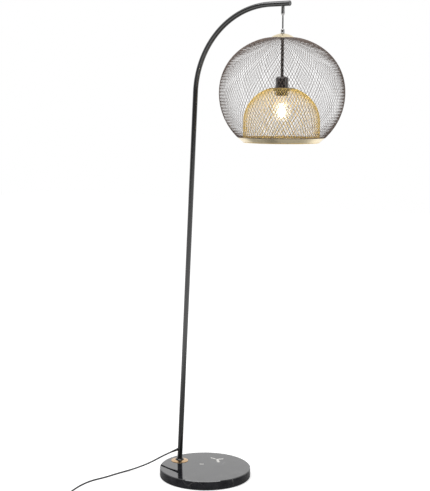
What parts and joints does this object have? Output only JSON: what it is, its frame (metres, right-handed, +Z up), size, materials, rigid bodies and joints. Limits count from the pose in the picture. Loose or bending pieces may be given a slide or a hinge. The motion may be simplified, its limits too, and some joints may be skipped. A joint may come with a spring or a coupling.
{
  "type": "wire cage floor lamp",
  "caption": "Floor lamp with a leaning pole on a round stone base, a bent arm and a hanging shade made of an outer wire cage around a smaller wire dome.",
  "frame": {"origin": "centre of the round base where it stands on the floor", "axes": "+X along the arm from the pole towards the shade, +Z up, +Y to the left when looking along +X"},
  "size_m": [0.7528, 0.6787, 1.57],
  "materials": {
    "stone_black": "polished black marble with a few white flecks",
    "pad_rubber": "matt anti-slip sheet",
    "black_paint": "satin black powder coat",
    "black_wire": "satin dark brown-black coat on fine wire",
    "black_ring": "glossy black",
    "brass": "satin brushed brass",
    "steel": "plain zinc-plated steel",
    "grip_metal": "bright nickel plate",
    "cord_black": "satin black sheath",
    "holder_black": "black thermoset, half gloss",
    "switch_black": "fine matt black",
    "contact_brass": "plain brass strip",
    "bulb_metal": "bright rolled cap",
    "bulb_white": "frosted, lit warm white"
  },
  "bodies": {
    "stand": {"base_disc": "stone_black", "base_pad": "pad_rubber", "foot_washer": "steel", "foot_bolt": "steel", "foot_insert": "steel", "rosette": "brass", "foot_ring": "black_ring", "pole_lower": "black_paint", "pole_middle": "black_paint", "pole_upper": "black_paint", "tube_couplers": "steel", "arm": "black_paint", "arm_end_cap": "black_paint", "exit_grommet": "cord_black", "inner_cord": "cord_black", "upper_cord_grip": "grip_metal", "grip_nut": "steel", "mains_cord": "cord_black", "cord_to_coil": "cord_black", "cord_coil": "cord_black", "cord_to_plug": "cord_black", "switch_base": "switch_black", "switch_cover": "switch_black", "switch_contacts": "contact_brass", "plug_body": "switch_black", "plug_pins": "steel"},
    "drop_cord": {"drop_cord": "cord_black"},
    "lower_grip": {"lower_cord_grip": "grip_metal"},
    "shade": {"top_cap": "brass", "clamp_plate": "black_wire", "clamp_nut": "black_paint", "hanging_pipe": "black_paint", "pipe_lead": "cord_black", "outer_cage": "black_wire", "inner_cage": "brass", "bottom_ring": "brass", "dome_plate": "brass", "holder_cap": "holder_black", "holder_body": "holder_black", "shade_ring": "holder_black", "contact_block": "holder_black", "screw_shell": "contact_brass", "centre_contact": "contact_brass", "bulb_cap": "bulb_metal", "bulb_tip": "bulb_metal", "bulb_glass": "bulb_white"},
    "switch_button": {"switch_button": "switch_black"}
  },
  "joints": [
    {"name": "shade_swing_along", "type": "hinge", "parent": "stand", "child": "drop_cord", "pos_m": [0.2836, 0, 1.5217], "axis": [0, 1, 0], "range_deg": [-25, 25]},
    {"name": "shade_swing_across", "type": "hinge", "parent": "drop_cord", "child": "lower_grip", "pos_m": [0.2836, 0, 1.4858], "axis": [1, 0, 0], "range_deg": [-25, 25]},
    {"name": "shade_twist", "type": "hinge", "parent": "lower_grip", "child": "shade", "pos_m": [0.2836, 0, 1.47], "axis": [0, 0, 1], "range_deg": [-90, 90]},
    {"name": "switch_press", "type": "slide", "parent": "stand", "child": "switch_button", "axis": [0, 0, -1], "range_m": [0, 0.003], "stiffness_N_per_m": 300, "springref_m": -0.001}
  ]
}
